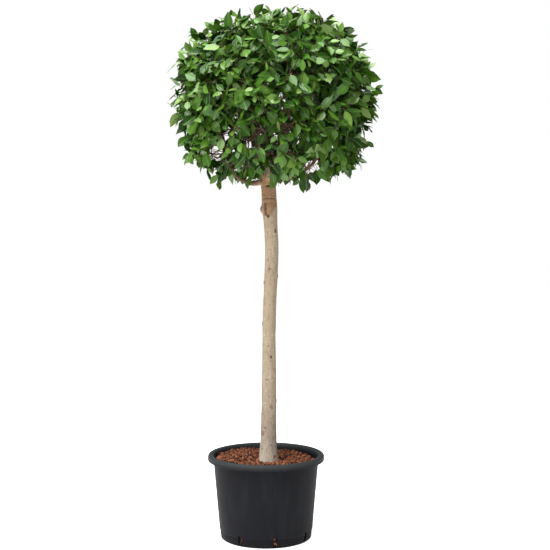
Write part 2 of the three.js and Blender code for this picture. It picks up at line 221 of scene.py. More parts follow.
# The pot: a black moulded nursery container with a rolled lip, a lower band and drain slots.
pot = {
    "height": 0.2915,
    "base": 0.1583,
    "neck": 0.1820,
    "wall": 0.0045,
    "lip": 0.2018,
    "lipHeight": 0.021,
    "lipSkin": 0.0035,
    "lipGrip": 0.014,  # how far up behind the lip its hollow goes
    # the lip's rolled edge: how far in from its radius, and down from the top
    "roll": [(0.0004, 0.0065), (0.0022, 0.0026), (0.0062, 0.0004), (0.0125, 0.0001)],
    # its inner side: how far out from the neck, and down
    "mouth": [(0.0025, 0.0014), (-0.0004, 0.0050), (-0.0024, 0.0120)],
    "band": 0.032,
    "bandStep": 0.0014,
    "sole": [(0, 0.0025), (0.136, 0.0025), (0.139, 0.0002), (0.151, 0.0002)],
    "soleEdge": 0.0045,
    "floor": 0.004,
    "middle": 0.15,
    "rounding": 0.0007,
    "steps": 144,
    "slots": 8,
    "slotSize": (0.030, 0.0150, 0.0330),  # deep, wide and tall
    "slotCorner": 0.0042,
    "slotMiddle": 0.0212,
    "slotPhase": -78,  # degrees
    "colour": (0.0042, 0.0044, 0.0060),
    "scuffed": (0.0100, 0.0106, 0.0127),
    # the lip's lighter grey is partly wear and partly painted sheen
    "lipWearAndSheen": (0.0265, 0.0295, 0.0300),
    # the lower band's darker colour is painted shade under the wall above it
    "bandPaintedShade": (0.0026, 0.0027, 0.0034),
}


def makePotFinish(p):
    finish = Finish("black moulded plastic", 0.08)
    grain = finish.noise(900, detail=2)
    cloud = finish.noise(9, (1, 1, 0.6), detail=5)
    streak = finish.noise(38, (1, 1, 0.12), detail=4)
    speck = finish.noise(160, detail=1).step(0.74, 0.80)
    height = finish.height()
    # the lip, painted lighter: partly wear and partly painted sheen
    top = height.step(p["height"] - 0.0215, p["height"] - 0.0027)
    worn = (cloud * 0.5 + streak * 0.5).step(0.46, 0.66) * 0.55 + speck * 0.6
    # the lower band, darkened as painted shade under the wall above it
    shadedBand = height.step(p["band"] + 0.002, p["band"])
    colour = finish.coated(p["colour"], [
        (worn, p["scuffed"]), (top * 0.85, p["lipWearAndSheen"]), (shadedBand * 0.6, p["bandPaintedShade"]),
    ])
    roughness = 0.56 + cloud * 0.14 - top * 0.12 + shadedBand * 0.06
    return finish.finishWith(colour, roughness, grain + streak * 0.8, 0.00025, 0.35)


def makePot(p):
    slope = (p["neck"] - p["base"]) / (p["height"] - p["lipHeight"])

    def outside(height):
        return p["base"] + slope * height

    top, band, step = p["height"], p["band"], p["bandStep"]
    lipBottom, skirt = top - p["lipHeight"], p["lip"] - p["lipSkin"]
    grip = lipBottom + p["lipGrip"]
    profile = p["sole"] + [(p["base"] - step, p["soleEdge"])]
    profile += [(outside(z) - step, z) for z in (band - 0.004, band)]
    heights = (band + 0.0014, band + 0.006, p["middle"], lipBottom - 0.006, grip - 0.002)
    profile += [(outside(z), z) for z in heights]
    profile += [(skirt, grip), (skirt, lipBottom)]
    profile += [(p["lip"] - 0.0012, lipBottom), (p["lip"], lipBottom + 0.0025)]
    profile += [(p["lip"] - aside, top - down) for aside, down in p["roll"]]
    profile += [(p["neck"] + aside, top - down) for aside, down in p["mouth"]]
    profile += [(outside(z) - p["wall"], z) for z in (top - 0.03, p["middle"], p["floor"])]
    bm = turned(profile + [(0, p["floor"])], p["steps"], p["rounding"])
    body = placed("pot body", meshOf(bm, "pot body"))
    cutter = makeSlotCutter(p)
    cut = body.modifiers.new("slots", "BOOLEAN")
    cut.operation, cut.object, cut.solver = "DIFFERENCE", cutter, "EXACT"
    mesh = applied(body)
    bpy.data.objects.remove(cutter)
    mesh.name = "pot"
    mesh.shade_smooth()
    mesh.set_sharp_from_angle(angle=math.radians(40))
    newPiece("pot_shell", mesh, [makePotFinish(p)], ["pot"])


def slotTurns(p):
    return [math.radians(p["slotPhase"] + i * 360 / p["slots"]) for i in range(p["slots"])]


# Upright blocks with rounded corners, one at each drain slot.
def makeSlotCutter(p):
    bm = bmesh.new()
    bmesh.ops.create_cube(bm, size=1)
    bmesh.ops.scale(bm, vec=p["slotSize"], verts=bm.verts)
    long = [e for e in bm.edges if abs(e.verts[0].co.x - e.verts[1].co.x) > 0.02]
    bmesh.ops.bevel(
        bm, geom=long, offset=p["slotCorner"], segments=4, profile=0.5, affect="EDGES", material=-1
    )
    bmesh.ops.translate(bm, vec=(p["base"], 0, p["slotMiddle"]), verts=bm.verts)
    turns = slotTurns(p)
    bmesh.ops.rotate(bm, cent=(0, 0, 0), verts=bm.verts, matrix=Matrix.Rotation(turns[0], 3, "Z"))
    bmesh.ops.spin(
        bm, geom=bm.verts[:] + bm.edges[:] + bm.faces[:], cent=(0, 0, 0), axis=(0, 0, 1),
        angle=turns[-1] - turns[0], steps=len(turns) - 1, use_duplicate=True,
    )
    return placed("slot cutter", meshOf(bm, "slot cutter"))


makePot(pot)
print("pot is made")


# A small shape as arrays. Its loops are the corners of its faces in turn.
def templateOf(bm):
    faces = [[v.index for v in f.verts] for f in bm.faces]
    return {
        "corners": np.array([v.co for v in bm.verts]),
        "loops": np.concatenate(faces).astype(np.int32),
        "sizes": np.array([len(f) for f in faces]),
        "materials": np.array([f.material_index for f in bm.faces]),
    }


# The corners of many copies, each of one of the shapes, turned, sized and put in its place.
def copiesOf(shapes, which, turns, size, at):
    base = np.stack([shapes[k]["corners"] for k in which])
    return np.einsum("nij,nkj->nki", turns, base) * size[:, None, None] + at[:, None, :]


# Many copies of a few templates in one mesh. Each part is a template, the corners of its copies, and
# a material for each face of each copy.
def joinedCopies(name, parts):
    loops, offset = [], 0
    for template, corners, _ in parts:
        count, each = corners.shape[:2]
        starts = offset + np.arange(count) * each
        loops.append((template["loops"][None, :] + starts[:, None]).ravel())
        offset += count * each
    loops = np.concatenate(loops)
    sizes = np.concatenate([np.tile(template["sizes"], len(corners)) for template, corners, _ in parts])
    places = np.concatenate([corners.reshape(-1, 3) for _, corners, _ in parts])
    materials = np.concatenate([some.ravel() for _, _, some in parts])
    mesh = bpy.data.meshes.new(name)
    mesh.vertices.add(offset)
    mesh.vertices.foreach_set("co", places.ravel().astype(np.float32))
    mesh.loops.add(len(loops))
    mesh.loops.foreach_set("vertex_index", loops.astype(np.int32))
    mesh.polygons.add(len(sizes))
    starts = np.concatenate([[0], np.cumsum(sizes)[:-1]])
    mesh.polygons.foreach_set("loop_start", starts.astype(np.int32))
    mesh.polygons.foreach_set("material_index", materials.astype(np.int32))
    mesh.polygons.foreach_set("use_smooth", np.ones(len(sizes), bool))
    mesh.update(calc_edges=True)
    mesh.validate()
    return mesh


# The filling: small lumps of fired clay, banked up towards the back left.
clay = {
    "level": 0.2655,
    "rim": 0.1730,
    "within": 0.0035,  # lumps' middles keep this far inside the rim, and the lower under the level
    "bank": 0.013,
    "spacing": 0.0076,
    "jitter": 0.0026,
    "rise": 0.0056,  # from the lower layer to the upper one
    "uneven": 0.0014,
    "leftOut": 0.42,  # of the upper layer
    "stem": (0.009, 0.027),  # where the stem stands, and the radius that it takes
    "size": (0.0030, 0.0054),  # half widths
    "variants": 7,
    "slotLumps": 10,
    "slotRadius": 0.1495,
    "slotReach": 0.0060,
    # the fourth is dark and the last near black; both go mostly to the lower lumps and the bed as
    # painted shade
    "colours": [
        (0.180, 0.059, 0.026), (0.110, 0.035, 0.015), (0.240, 0.092, 0.048),
        (0.040, 0.014, 0.008), (0.018, 0.024, 0.034), (0.014, 0.007, 0.005),
    ],
    "shares": [0.36, 0.29, 0.13, 0.200, 0.020, 0],
    # lumps between and under the others take mostly the dark colours, as painted shade between the
    # lumps
    "shadedSharesBelow": [0.10, 0.22, 0, 0.44, 0.01, 0.23],  # lumps between and under the others
}


def makeClayFinish(colour, i):
    finish = Finish(f"fired clay {i + 1}", 0.18)
    pores = finish.noise(700, detail=4)
    blotch = finish.noise(120, detail=2).step(0.35, 0.7)
    pale = tuple(1.35 * c + 0.006 for c in colour)
    dark = tuple(0.62 * c for c in colour)
    mottled = finish.mix(pores.step(0.3, 0.7), dark, finish.mix(blotch, colour, pale))
    return finish.finishWith(mottled, 0.86 + blotch * 0.1, pores, 0.0012, 0.8)


# A rough rounded lump of radius 1.
def pebbleShape(draws):
    bm = bmesh.new()
    bmesh.ops.create_icosphere(bm, subdivisions=2, radius=1)
    shift = Vector((draws.uniform(0, 50), 0, 0))
    stretch = Vector([draws.uniform(*span) for span in ((0.85, 1.25), (0.8, 1.1), (0.7, 0.95))])
    for v in bm.verts:
        v.co *= 1 + 0.38 * noise.noise(v.co * 1.3 + shift) + 0.12 * noise.noise(v.co * 3.1 + shift)
        v.co *= stretch
    return bm


def randomTurns(rng, count):
    return np.array([Quaternion(q).normalized().to_matrix() for q in rng.normal(size=(count, 4))])


def pebblePlaces(c, rng):
    places = []
    rowStep = 0.866  # of the spacing, as in a honeycomb
    rows = int(c["rim"] / c["spacing"] / rowStep) + 2
    stemX, stemRoom = c["stem"]
    for layer in range(2):
        for row in range(-rows, rows + 1):
            for column in range(-rows - 2, rows + 3):
                x = (column + 0.5 * (row % 2) + 0.5 * layer) * c["spacing"]
                y = (row * rowStep + 0.4 * layer) * c["spacing"]
                x, y = np.array([x, y]) + rng.uniform(-c["jitter"], c["jitter"], 2)
                if math.hypot(x, y) > c["rim"] - c["within"] or math.hypot(x - stemX, y) < stemRoom:
                    continue
                if layer == 1 and rng.random() < c["leftOut"]:
                    continue
                bank = c["bank"] * min(1, max(-0.12, (0.58 * y - 0.55 * x) / c["rim"]))
                swell = 0.0026 * noise.noise((x * 22, y * 22, 3))
                z = c["level"] - c["within"] + bank + swell + c["rise"] * layer
                places.append((x, y, z + rng.uniform(-c["uneven"], c["uneven"]), layer))
    # those that show in the drain slots
    for turn in slotTurns(pot):
        for k in range(c["slotLumps"]):
            radius = c["slotRadius"] + rng.uniform(-0.003, 0.001)
            aside = rng.uniform(-c["slotReach"], c["slotReach"])
            x = radius * math.cos(turn) - aside * math.sin(turn)
            y = radius * math.sin(turn) + aside * math.cos(turn)
            places.append((x, y, 0.008 + 0.0028 * k + rng.uniform(-0.001, 0.001), k % 2))
    return np.array(places)


def makeClay(c):
    draws = random.Random(5)
    rng = np.random.default_rng(5)
    templates = [templateOf(pebbleShape(draws)) for _ in range(c["variants"])]
    found = pebblePlaces(c, rng)
    places, onTop = found[:, :3], found[:, 3] > 0
    count, kinds = len(places), len(c["colours"])
    which = rng.integers(0, c["variants"], count)
    size = rng.uniform(*c["size"], count)
    corners = copiesOf(templates, which, randomTurns(rng, count), size, places)
    above = rng.choice(kinds, count, p=c["shares"])
    # lumps under the top layer take mostly the dark colours, as painted shade between the lumps
    below = rng.choice(kinds, count, p=c["shadedSharesBelow"])
    tint = np.where(onTop, above, below)
    materials = np.repeat(tint[:, None], len(templates[0]["sizes"]), axis=1)
    finishes = [makeClayFinish(colour, i) for i, colour in enumerate(c["colours"])]
    for part, chosen in enumerate(np.split(rng.permutation(count), [count // 2])):
        name = f"clay_granules_{part + 1}"
        mesh = joinedCopies(name, [(templates[0], corners[chosen], materials[chosen])])
        newPiece(name, mesh, finishes, ["granules"])
    # a dark bed under them, painted shade which shows between the lumps and in the slots
    level = c["level"]
    profile = [(0, 0.0055), (c["slotRadius"], 0.0055), (0.1690, level - 0.008), (0, level - 0.005)]
    bed = turned(profile, 96, 0.0004)
    newPiece("clay_bed", meshOf(bed, "clay bed"), [finishes[-1]], ["granules"])
    return count


print("clay granules:", makeClay(clay))


# The numbers from 0 to 1 that the CAD model's limbs grow by, so that they grow the same way here.
def seeded(seed):
    state = [seed & 0xFFFFFFFF]

    def draw():
        state[0] = (state[0] + 0x6D2B79F5) & 0xFFFFFFFF
        t = state[0]
        t = ((t ^ (t >> 15)) * (1 | t)) & 0xFFFFFFFF
        t = ((t + (((t ^ (t >> 7)) * (61 | t)) & 0xFFFFFFFF)) & 0xFFFFFFFF) ^ t
        return ((t ^ (t >> 14)) & 0xFFFFFFFF) / 4294967296

    return draw


# A smooth curve through points, walked by its length.
class Curve:
    def __init__(self, points, steps=40):
        points = [Vector(p) for p in points]
        ends = [2 * points[0] - points[1], *points, 2 * points[-1] - points[-2]]
        samples = []
        for i in range(len(points) - 1):
            a, b, c, d = ends[i:i + 4]
            before, along, after = ((q - p).length ** 0.5 for p, q in ((a, b), (b, c), (c, d)))
            leave = ((b - a) / before - (c - a) / (before + along) + (c - b) / along) * along
            arrive = ((c - b) / along - (d - b) / (along + after) + (d - c) / after) * along
            for k in range(steps):
                t = k / steps
                samples.append(
                    b + leave * t + (3 * (c - b) - 2 * leave - arrive) * t ** 2
                    + (2 * (b - c) + leave + arrive) * t ** 3
                )
        samples.append(points[-1])
        self.points = np.array(samples)
        gaps = np.linalg.norm(np.diff(self.points, axis=0), axis=1)
        self.lengths = np.concatenate([[0], np.cumsum(gaps)])
        self.length = self.lengths[-1]

    # the point at a distance, or the points at several
    def at(self, distance):
        return np.stack([np.interp(distance, self.lengths, some) for some in self.points.T], axis=-1)


stem = {
    "foot": 0.2655,
    "fork": 1.276,
    "limbsFrom": 1.18,  # no limb is lower
    "marksTo": 1.262,
    "footRadius": 0.0290,
    "topRadius": 0.0230,
    "taperHeight": 0.44,
    "flare": 0.0052,
    "flareHeight": 0.034,
    "swell": 0.0055,
    "swellHeight": 0.060,
    "sway": [
        (0.0075, 0, 0.266), (0.0105, 0.003, 0.520), (0.011, 0.005, 0.760),
        (0.020, 0.002, 1.000), (0.012, -0.002, 1.150), (0.007, 0, 1.276),
    ],
}
stemCurve = Curve(stem["sway"])


# The stem's middle at a height, or at each of several.
def stemMiddle(height):
    x, y, z = stemCurve.points.T
    return np.stack([np.interp(height, z, x), np.interp(height, z, y), height], axis=-1)


def stemRadius(height, direction):
    s = stem
    rise = height - s["foot"]
    taper = s["footRadius"] + (s["topRadius"] - s["footRadius"]) * min(1, rise / s["taperHeight"])
    lobes = 1 + 0.28 * math.cos(3 * direction + 0.6) + 0.12 * math.cos(7 * direction + 2)
    flare = s["flare"] * lobes * math.exp(-max(0, rise) / s["flareHeight"])
    return taper + flare + s["swell"] * math.exp(-max(0, s["fork"] - height) / s["swellHeight"])


crown = {
    "centre": np.array([0.030, 0, 1.507]),
    "radius": 0.347,
    "halfHeight": 0.300,
    "squareness": 2.4,
    "squarenessLow": 3.3,
    "tuck": 0.045,  # how much narrower the lower half is
    "tuckDepth": 0.12,
    "leafReach": 1.06,
}
limbKinds = [
    {
        "name": "low", "count": 5, "firstDirection": 190, "forkRise": -0.036,
        "heartRadius": 0.195, "heartHeight": 1.415,
        "kneeRadius": 0.078, "kneeHeights": [1.226, 1.262, 1.248, 1.250, 1.246],
        "tipRadius": 0.146, "tipHeights": [1.262, 1.310, 1.296, 1.292, 1.286],
        "rootThick": 0.0095, "tipThick": 0.006, "seed": 3,
    },
    {
        "name": "high", "count": 4, "firstDirection": 226, "forkRise": -0.022,
        "heartRadius": 0.150, "heartHeight": 1.606,
        "kneeRadius": 0.054, "kneeHeights": [1.362, 1.356, 1.368, 1.360],
        "tipRadius": 0.078, "tipHeights": [1.462, 1.456, 1.466, 1.460],
        "rootThick": 0.012, "tipThick": 0.008, "seed": 7,
    },
    {
        "name": "top", "count": 1, "firstDirection": 20, "forkRise": -0.020,
        "heartRadius": 0.014, "heartHeight": 1.700,
        "kneeRadius": 0.004, "kneeHeights": [1.380],
        "tipRadius": 0.010, "tipHeights": [1.520],
        "rootThick": 0.010, "tipThick": 0.0065, "seed": 9,
    },
]


# Each limb's whole line, from the stem's middle past its own tip to the far end of its mass.
def planLimbs(kind):
    draw = seeded(kind["seed"])
    limbs = []
    for i in range(kind["count"]):
        direction = math.radians(kind["firstDirection"] + 360 / kind["count"] * i)
        wander = (draw() - 0.5) * 0.24
        root = stemMiddle(stem["fork"] + kind["forkRise"] + (draw() - 0.5) * 0.014)

        def away(radius, height, turn=0.0):
            return Vector((
                crown["centre"][0] * min(1, radius / 0.12) + radius * math.cos(direction + turn),
                radius * math.sin(direction + turn),
                height,
            ))

        heart = away(kind["heartRadius"], kind["heartHeight"])
        tip = away(kind["tipRadius"], kind["tipHeights"][i], wander * 0.5)
        knee = away(kind["kneeRadius"], kind["kneeHeights"][i], wander)
        outwards = heart - Vector(crown["centre"])
        outwards.z *= 1.2
        outwards.normalize()
        curve = Curve([root, knee, tip, heart, heart + outwards * 0.06])
        toTip = curve.lengths[int(np.argmin(np.linalg.norm(curve.points - np.array(tip), axis=1)))]
        limbs.append({
            **kind, "name": f"{kind['name']}_{i + 1}", "curve": curve, "heart": heart,
            "outwards": outwards, "toTip": float(toTip),
        })
    return limbs


limbs = [limb for kind in limbKinds for limb in planLimbs(kind)]
hearts = np.array([limb["heart"] for limb in limbs])
print("limbs:", len(limbs))


def onlyVerts(made):
    return [g for g in made if isinstance(g, bmesh.types.BMVert)]


# A closed round rod along Z, of radius 1, with its rings at 0, 1, 2 and so on.
def standingRod(bm, sides, rings):
    corners = bmesh.ops.create_circle(bm, cap_ends=True, segments=sides, radius=1)["verts"]
    rim = list({e for v in corners for e in v.link_edges})
    for _ in range(rings - 1):
        made = bmesh.ops.extrude_edge_only(bm, edges=rim)["geom"]
        ring = onlyVerts(made)
        rim = [g for g in made if isinstance(g, bmesh.types.BMEdge) and set(g.verts) <= set(ring)]
        bmesh.ops.translate(bm, vec=(0, 0, 1), verts=ring)
        corners = corners + ring
    bmesh.ops.edgeloop_fill(bm, edges=rim)
    bmesh.ops.recalc_face_normals(bm, faces=list({f for v in corners for f in v.link_faces}))
    bm.verts.index_update()
    return corners


# A round rod laid along points, with a radius for each.
def addRod(bm, points, radii, sides):
    corners = standingRod(bm, sides, len(points))
    side = Vector((1, 0, 0))
    frames = []
    for tangent in np.gradient(points, axis=0):
        forward = Vector(tangent).normalized()
        side = (side - forward * side.dot(forward)).normalized()
        frames.append((side, forward.cross(side)))
    for v in corners:
        ring = round(v.co.z)
        across, over = frames[ring]
        v.co = Vector(points[ring]) + (across * v.co.x + over * v.co.y) * radii[ring]


# Scars on the stem: height, direction in degrees (0 right, -90 front), half width, half height, kind.
marks = [
    (1.062, -52, 0.0042, 0.0070, "knot"), (0.933, -107, 0.0064, 0.0023, "dash"),
    (0.907, -20, 0.0048, 0.0058, "knot"), (0.885, -165, 0.0050, 0.0062, "knot"),
    (0.742, -172, 0.0050, 0.0056, "knot"), (0.629, -70, 0.0040, 0.0052, "pit"),
    (0.551, -110, 0.0066, 0.0020, "dash"), (0.457, -73, 0.0050, 0.0050, "ring"),
    (0.474, -8, 0.0044, 0.0046, "knot"), (0.366, -134, 0.0052, 0.0070, "ring"),
    (0.384, -117, 0.0060, 0.0019, "dash"), (0.311, -137, 0.0050, 0.0021, "dash"),
    (0.325, -68, 0.0052, 0.0024, "dash"), (0.284, -46, 0.0058, 0.0050, "ring"),
    (0.430, -150, 0.0044, 0.0020, "dash"), (0.668, -96, 0.0030, 0.0026, "dash"),
    (1.136, -171, 0.0080, 0.0112, "stub"), (1.212, -176, 0.0042, 0.0042, "knot"),
    (1.113, -107, 0.0050, 0.0062, "pit"), (1.216, -92, 0.0104, 0.0032, "pit"),
    (1.018, 60, 0.0048, 0.0060, "knot"), (0.848, 118, 0.0040, 0.0044, "ring"),
    (0.708, 35, 0.0056, 0.0020, "dash"), (0.598, 150, 0.0046, 0.0054, "knot"),
    (0.513, 82, 0.0034, 0.0044, "pit"), (0.408, 64, 0.0060, 0.0020, "dash"),
    (0.353, 128, 0.0050, 0.0050, "ring"), (1.128, 95, 0.0062, 0.0080, "ring"),
]
# The healed wound under the crown. Its sides are measured round the stem from the front.
scar = {
    "height": 1.1365,
    "halfHeight": 0.0215,
    "left": -0.0146,
    "foot": 0.0015,  # its right side at the bottom
    "right": 0.0255,  # and how much further that goes at the top
    "ragged": 0.0014,
    "strip": (0.0012, 0.0056),  # the torn strip by the left edge: how far in, and how wide
    "sunk": 0.0010,
    "swell": (0.0026, 0.006, 0.044),  # how far the stem swells there, how much higher, and how long
}
groove = {"height": 1.173, "depth": 0.0014, "halfHeight": 0.0017, "wave": 0.0008}


def wrapped(angle):
    return np.arctan2(np.sin(angle), np.cos(angle))


def bell(values, width):
    return np.exp(-(values / width) ** 2)


# 0 well below zero and 1 well above it
def softStep(values, width):
    return 1 / (1 + np.exp(-np.clip(values / width, -40, 40)))


# How far out a mark pushes the skin, and how dark and how rusty it is. A square of 1 is its rim.
def readMark(kind, square, size):
    ring = bell(np.sqrt(square) - 1.0, 0.38)
    if kind == "knot":
        push = 0.42 * size * np.exp(-square * 0.55) - 0.34 * size * np.exp(-square * 3.5)
        return push, np.maximum(0.95 * np.exp(-square * 2.2), 0.45 * ring), 0
    if kind == "ring":
        push = 0.16 * size * ring - 0.14 * size * np.exp(-square * 2.5)
        return push, 0.40 * ring, np.exp(-square * 1.1)
    if kind == "stub":
        return 0.58 * size * np.exp(-0.8 * square ** 1.6), 0.55 * np.exp(-square * 1.6), 0
    if kind == "pit":
        return -0.55 * size * np.exp(-square * 1.4), np.exp(-square * 1.1), 0
    return -0.25 * size * np.exp(-square * 1.2), 0.8 * np.exp(-square * 1.1), 0  # a dash


# The same for the healed wound: a sunken shield with a rough left edge, narrow at its foot.
def readScar(height, direction, radius, s):
    above = (height - s["height"]) / s["halfHeight"]
    along = wrapped(direction + math.pi / 2) * radius
    ragged = noiseAt([(5, z * 190, 0) for z in height]) * s["ragged"]
    left = s["left"] - 0.0018 * (1 - above) / 2 + ragged
    right = s["foot"] + s["right"] * np.clip((above + 1) / 2, 0, 1) ** 1.1 + ragged * 0.8
    ends = (1 - np.abs(above)) * s["halfHeight"]
    within = np.minimum(np.minimum(along - left, right - along), ends)
    body = softStep(within, 0.0005)
    upright = softStep(ends + 0.0008, 0.0004)
    stripAt, stripWide = s["strip"]
    strip = np.exp(-((along - left - stripAt) / stripWide) ** 4) * upright
    edge = 0.56 * np.clip(1.0 + 500 * ragged, 0.40, 1.3) * strip
    edge = np.maximum(edge, 0.24 * bell(along - right, 0.0030) * upright)
    edge = np.maximum(edge, 0.38 * bell(within, 0.0026) * (above > 0))
    swell, higher, length = s["swell"]
    push = swell * bell(height - s["height"] - higher, length) - s["sunk"] * body - 0.0009 * edge
    leftOf = softStep(left - along, 0.0010) * upright * (along > -0.05)
    return push, edge, np.maximum(np.maximum(0.64 * body, 0.95 * strip), 0.58 * leftOf)


# All marks together, at many points of the stem.
def readMarks(height, direction, radius):
    push, dark, rusty = (np.zeros_like(height) for _ in range(3))
    for z, degrees, halfWidth, halfHeight, kind in marks:
        aside = wrapped(direction - math.radians(degrees)) * radius / halfWidth
        square = aside ** 2 + ((height - z) / halfHeight) ** 2
        more, darker, rustier = readMark(kind, square, max(halfWidth, halfHeight))
        push += more
        dark, rusty = np.maximum(dark, darker), np.maximum(rusty, rustier)
    more, darker, rustier = readScar(height, direction, radius, scar)
    wave = groove["wave"] * np.sin(3 * direction)
    band = bell(height - groove["height"] - wave, groove["halfHeight"])
    front = 0.45 + 0.55 * bell(wrapped(direction + math.radians(90)), 1.5)
    push += more - groove["depth"] * band * front
    dark = np.maximum(np.maximum(dark, darker), 0.62 * band * front)
    return push, dark, np.maximum(rusty, rustier)


bark = {
    "low": (0.222, 0.176, 0.133),
    "mid": (0.240, 0.188, 0.127),
    # paler higher up: partly the stem's own tone, partly painted light under the crown's shade
    "high": (0.285, 0.222, 0.150),
    "brown": (0.235, 0.126, 0.060),
    "brownFrom": (1.136, 1.166),  # heights between which the bark turns brown
    "rust": (0.205, 0.105, 0.046),
    "knot": (0.088, 0.047, 0.029),
    "mark": (0.020, 0.013, 0.009),
    # dark brown on the limbs and the stem's top: partly their own bark, partly painted shade inside the
    # crown
    "limb": (0.078, 0.047, 0.027),
    # paler at the foot: painted light where the pot and the crown shade the stem
    "foot": (0.400, 0.338, 0.275),
    "speck": (0.54, 0.47, 0.37),
    "shade": (0.105, 0.076, 0.048),
    "grain": 0.0021,  # size of a voxel in the wood's skin
    "stemRod": (48, 60),  # sides and rings
    "limbRod": (20, 34),
    "rootSwell": 0.0045,  # how much thicker a limb is where it leaves the stem
    # depth, and how fine: streaks, lumps and grain
    "relief": [(0.00045, (75, 75, 9)), (0.0009, (17, 17, 17)), (0.00028, (210, 210, 120))],
}


def makeBarkFinish(b):
    finish = Finish("bark", 0.25)
    height = finish.height()
    streak = finish.noise(60, (1, 1, 0.16), detail=5)
    cloud = finish.noise(16, (1, 1, 0.5), detail=4)
    fine = finish.noise(300, (1, 1, 0.7), detail=3)
    lenticel = finish.noise(150, (0.8, 0.8, 1.5), detail=2)
    crack = finish.noise(95, (1.5, 1.5, 0.5), detail=4)
    patchy = height + cloud * 0.30
    edge = height + (cloud - 0.5) * 0.09 + (streak - 0.5) * 0.04
    mark = finish.painted("mark")
    rust = finish.painted("rusty") * (0.55 + crack * 0.75)
    coats = {
        "mid": patchy.step(0.50, 0.98),
        # paler higher up: partly the stem's own tone, partly painted light under the crown's shade
        "high": patchy.step(1.00, 1.24),
        # paler at the foot, as painted light against the shade of the pot and the crown
        "foot": (height + cloud * 0.10).step(0.43, 0.33),
        "brown": edge.step(*b["brownFrom"]) * 0.92,
        # the limbs' dark brown: partly their own bark, partly painted shade inside the crown
        "limb": finish.painted("limbShare"),
        "shade": crack.step(0.48, 0.66) * 0.34 + fine.step(0.48, 0.70) * 0.26,
        "speck": lenticel.step(0.58, 0.68) * 0.26 + streak.step(0.55, 0.75) * 0.14,
        "rust": rust.step(0.08, 0.85),
        "knot": mark.step(0.05, 0.60) * 0.9,
        "mark": mark.step(0.52, 0.92),
    }
    skin = finish.coated(b["low"], [(mask, b[name]) for name, mask in coats.items()])
    relief = fine * 0.5 + crack * 0.9 + lenticel.step(0.56, 0.68) * 0.6 + streak
    return finish.finishWith(skin, 0.80 + fine * 0.15, relief, 0.0011, 0.75)


# One rough skin over the stem and the limbs.
def woodSkin(b):
    bm = bmesh.new()
    sides, rings = b["stemRod"]
    heights = np.linspace(stem["foot"] - 0.007, stem["fork"] + 0.004, rings)
    addRod(bm, stemMiddle(heights), np.full(rings, 0.02), sides)
    # the rod's rings take the stem's own outline
    for v in bm.verts:
        middle = Vector(stemMiddle(v.co.z))
        out = v.co - middle
        if out.length < 1e-6:
            continue
        radius = stemRadius(v.co.z, math.atan2(out.y, out.x))
        if v.co.z > stem["fork"] - 0.012:
            radius *= 0.86
        v.co = middle + out.normalized() * radius
    sides, rings = b["limbRod"]
    for limb in limbs:
        points = limb["curve"].at(np.linspace(0, limb["toTip"] + 0.004, rings))
        share = np.linspace(0, 1, rings)
        thick = limb["rootThick"] + b["rootSwell"] * np.exp(-share * 6)
        addRod(bm, points, thick + (limb["tipThick"] - limb["rootThick"]) * share, sides)
    rough = placed("wood", meshOf(bm, "wood"))
    skin = rough.modifiers.new("skin", "REMESH")
    skin.mode, skin.voxel_size, skin.use_smooth_shade = "VOXEL", b["grain"], True
    bm = bmesh.new()
    bm.from_mesh(applied(rough))
    for _ in range(3):
        bmesh.ops.smooth_vert(
            bm, verts=bm.verts, factor=0.5, use_axis_x=True, use_axis_y=True, use_axis_z=True
        )
    bm.normal_update()
    return bm


def makeWood(b):
    bm = woodSkin(b)
    points = np.array([v.co for v in bm.verts])
    normals = np.array([v.normal for v in bm.verts])
    height = points[:, 2]
    out = points - stemMiddle(height)
    radius = np.linalg.norm(out, axis=1)  # out is level
    direction = np.arctan2(out[:, 1], out[:, 0])
    onStem = (radius < 0.045) & (height < stem["marksTo"]) & (np.abs(normals[:, 2]) < 0.7)
    found = readMarks(height, direction, np.maximum(radius, 0.02))
    push, dark, rusty = (some * onStem for some in found)
    for depth, fineness in b["relief"]:
        push += depth * noiseAt(points * fineness)
    for v, p in zip(bm.verts, points + normals * push[:, None]):
        v.co = p
    mesh = meshOf(bm, "wood")
    limbShare = np.clip((radius - 0.030) / 0.030, 0, 1) * (height > stem["limbsFrom"])
    limbShare = np.maximum(limbShare, np.clip((height - 1.265) / 0.03, 0, 1))
    for name, values in (("mark", dark), ("rusty", rusty), ("limbShare", limbShare)):
        layer = mesh.attributes.new(name, "FLOAT", "POINT")
        layer.data.foreach_set("value", values.astype(np.float32))
    nodes = ["trunk"] + [f"bough_{limb['name']}" for limb in limbs]
    newPiece("wood", mesh, [makeBarkFinish(b)], nodes)
    return len(mesh.polygons)


print("wood faces:", makeWood(bark))


# How far out of the crown's outline points are: 1 is on it.
def outlineShare(points):
    c = crown
    off = points - c["centre"]
    radius = c["radius"] * (1 - c["tuck"] * np.clip(-off[..., 2] / c["tuckDepth"], 0, 1))
    aside = np.hypot(off[..., 0], off[..., 1]) / radius
    above = np.abs(off[..., 2]) / c["halfHeight"]
    square = np.where(off[..., 2] < 0, c["squarenessLow"], c["squareness"])
    return (aside ** square + above ** square) ** (1 / square)


# Points spread evenly over the crown, at a share of its outline, and scattered a little.
def spreadOverCrown(count, share, rng):
    i = np.arange(count)
    z = 1 - 2 * (i + 0.5) / count
    aside = np.sqrt(1 - z * z)
    angle = i * goldenAngle + rng.uniform(0, 6)
    rays = np.stack([np.cos(angle) * aside, np.sin(angle) * aside, z], axis=1)
    reach = share / outlineShare(crown["centre"] + rays)
    scatter = rng.normal(0, growth["scatter"], rays.shape)
    return crown["centre"] + rays * reach[:, None] + scatter


